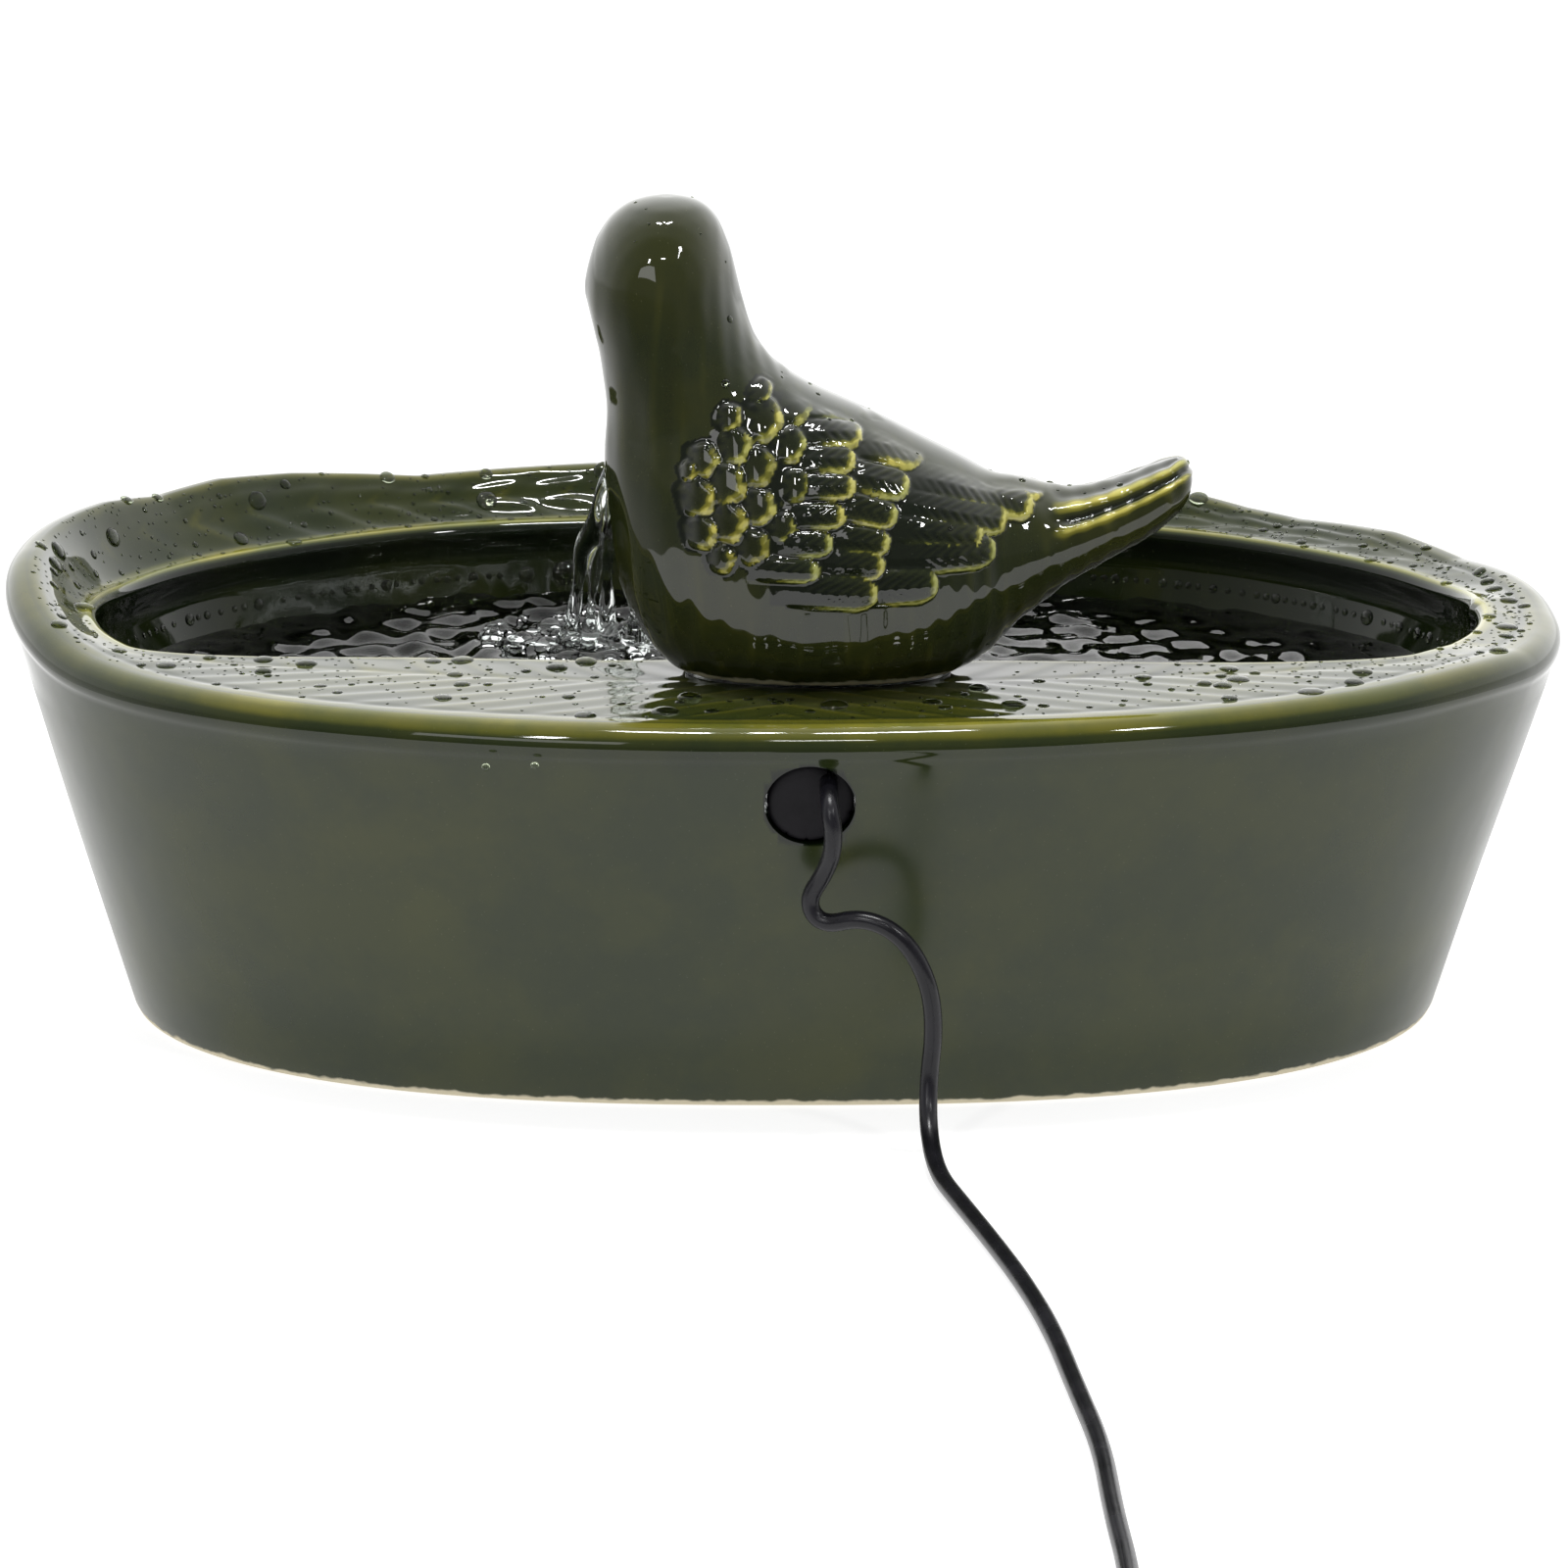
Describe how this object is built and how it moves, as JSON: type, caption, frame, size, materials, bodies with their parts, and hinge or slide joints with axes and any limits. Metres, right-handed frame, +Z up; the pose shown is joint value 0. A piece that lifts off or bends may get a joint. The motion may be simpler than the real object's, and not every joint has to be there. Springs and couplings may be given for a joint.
{
  "type": "ceramic bird fountain",
  "caption": "Oval glazed ceramic basin fountain: a removable bird pours water from its beak, fed by a small submersible low-voltage pump with cord.",
  "frame": {"origin": "on the floor, at the centre of the basin's foot and of its rim", "axes": "+X towards the bird's tail along the basin's length, +Y towards the open pool, away from the cord, +Z up"},
  "size_m": [0.3651, 0.5782, 0.2012],
  "materials": {
    "glaze": "gloss, dark olive with lime edges",
    "bird_glaze": "gloss, dark olive with lime edges",
    "clear_silicone": "satin, translucent",
    "black_rubber": "matte",
    "clear_tube": "gloss, clear",
    "pump_plastic": "satin",
    "cover_plastic": "satin",
    "stainless": "satin",
    "seal_rubber": "matte",
    "white_plastic": "satin",
    "magnet": "matte",
    "white_ceramic": "polished",
    "steel_core": "matte",
    "copper_wire": "gloss lacquer",
    "circuit_board": "satin",
    "potting_resin": "gloss",
    "filter_foam": "open-cell foam",
    "cord_jacket": "satin",
    "tie_plastic": "satin",
    "connector_plastic": "satin",
    "nickel_plate": "polished",
    "insulator_plastic": "satin",
    "water": "clear water, looks only"
  },
  "bodies": {
    "root": {"basin": "glaze", "tube_grommet": "black_rubber", "cord_plug": "black_rubber", "pump_housing": "pump_plastic", "volute_cover": "pump_plastic", "cover_screws": "stainless", "chamber_seal": "seal_rubber", "rotor_shaft": "white_ceramic", "rear_bush": "seal_rubber", "front_bush": "seal_rubber", "stator_core": "steel_core", "stator_coils": "copper_wire", "driver_board": "circuit_board", "potting": "potting_resin", "suction_cups": "clear_silicone", "lead_gland": "black_rubber", "inner_lead": "cord_jacket", "cord_run": "cord_jacket", "cord_coil": "cord_jacket", "cord_tail": "cord_jacket", "coil_tie": "tie_plastic", "connector_boot": "connector_plastic", "connector_grip": "connector_plastic", "connector_barrel": "nickel_plate", "connector_insulator": "insulator_plastic"},
    "bird": {"bird": "bird_glaze", "bird_seat_ring": "clear_silicone", "delivery_tube": "clear_tube"},
    "rotor": {"impeller": "white_plastic", "rotor_magnet": "magnet"},
    "filter_cover": {"intake_cover": "cover_plastic", "foam_filter": "filter_foam"},
    "flow_gate": {"flow_gate": "cover_plastic"}
  },
  "joints": [
    {"name": "bird_lift", "type": "slide", "parent": "root", "child": "bird", "axis": [0, 0, 1], "range_m": [0, 0.1]},
    {"name": "rotor_spin", "type": "hinge", "parent": "root", "child": "rotor", "pos_m": [0.006, -0.075, 0.029], "axis": [1, 0, 0], "continuous": true},
    {"name": "cover_pull", "type": "slide", "parent": "root", "child": "filter_cover", "axis": [1, 0, 0], "range_m": [0, 0.018]},
    {"name": "flow_adjust", "type": "slide", "parent": "filter_cover", "child": "flow_gate", "axis": [0, -1, 0], "range_m": [0, 0.0066]}
  ]
}
